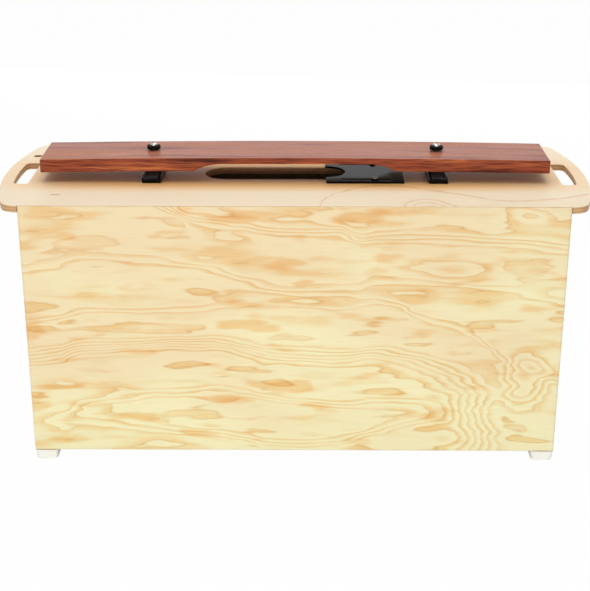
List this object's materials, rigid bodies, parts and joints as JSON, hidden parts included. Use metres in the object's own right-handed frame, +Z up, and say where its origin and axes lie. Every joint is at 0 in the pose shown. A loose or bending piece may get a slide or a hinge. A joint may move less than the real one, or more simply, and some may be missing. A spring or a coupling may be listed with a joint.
{
  "type": "chime bar",
  "caption": "Contrabass chime bar: one rosewood bar floats on rubber buffers over a plywood resonator box with handled top board and an adjustable tuning slide.",
  "frame": {"origin": "on the floor under the middle of the resonator box", "axes": "+X along the bar to the right as seen from the front panel, +Y from the front panel to the rear, +Z up"},
  "size_m": [0.842, 0.316, 0.4316],
  "materials": {
    "plywood_face": "clear satin lacquer on rotary-cut pine plywood",
    "plywood_board": "clear satin lacquer on pine plywood with layered edges",
    "rosewood": "oiled and polished",
    "beech": "planed",
    "white_rubber": "matt moulded",
    "black_rubber": "matt moulded",
    "black_plastic": "satin moulded",
    "grey_felt": "pressed felt",
    "plated_steel": "bright nickel plating",
    "brass": "turned, unpolished"
  },
  "bodies": {
    "box": {"front_panel": "plywood_face", "rear_panel": "plywood_face", "left_side_panel": "plywood_face", "right_side_panel": "plywood_face", "bottom_panel": "plywood_face", "top_board": "plywood_board", "left_screw_block": "beech", "right_screw_block": "beech", "front_left_foot": "white_rubber", "front_right_foot": "white_rubber", "rear_left_foot": "white_rubber", "rear_right_foot": "white_rubber", "front_left_foot_screw": "plated_steel", "front_right_foot_screw": "plated_steel", "rear_left_foot_screw": "plated_steel", "rear_right_foot_screw": "plated_steel", "left_bar_rest": "black_plastic", "right_bar_rest": "black_plastic", "left_rest_felt": "grey_felt", "right_rest_felt": "grey_felt", "left_rest_buffer": "black_rubber", "right_rest_buffer": "black_rubber", "left_rubber_collar": "black_rubber", "right_rubber_collar": "black_rubber", "left_spacer_sleeve": "plated_steel", "right_spacer_sleeve": "plated_steel", "left_bar_screw": "plated_steel", "right_bar_screw": "plated_steel", "left_threaded_insert": "brass", "right_threaded_insert": "brass", "front_slide_washer": "black_plastic", "rear_slide_washer": "black_plastic", "front_slide_insert": "brass", "rear_slide_insert": "brass"},
    "bar": {"tone_bar": "rosewood"},
    "slide": {"tuning_slide": "black_plastic"},
    "front_clamp_screw": {"front_slide_screw": "plated_steel"},
    "rear_clamp_screw": {"rear_slide_screw": "plated_steel"}
  },
  "joints": [
    {"name": "bar_float", "type": "slide", "parent": "box", "child": "bar", "axis": [0, 0, 1], "range_m": [0, 0.0012]},
    {"name": "slide_travel", "type": "slide", "parent": "box", "child": "slide", "axis": [1, 0, 0], "range_m": [-0.02, 0.034]},
    {"name": "front_clamp_turn", "type": "hinge", "parent": "box", "child": "front_clamp_screw", "pos_m": [0.1145, -0.038, 0.3895], "axis": [0, 0, 1], "range_deg": [0, 180]},
    {"name": "rear_clamp_turn", "type": "hinge", "parent": "box", "child": "rear_clamp_screw", "pos_m": [0.1145, 0.038, 0.3895], "axis": [0, 0, 1], "range_deg": [0, 180]}
  ]
}
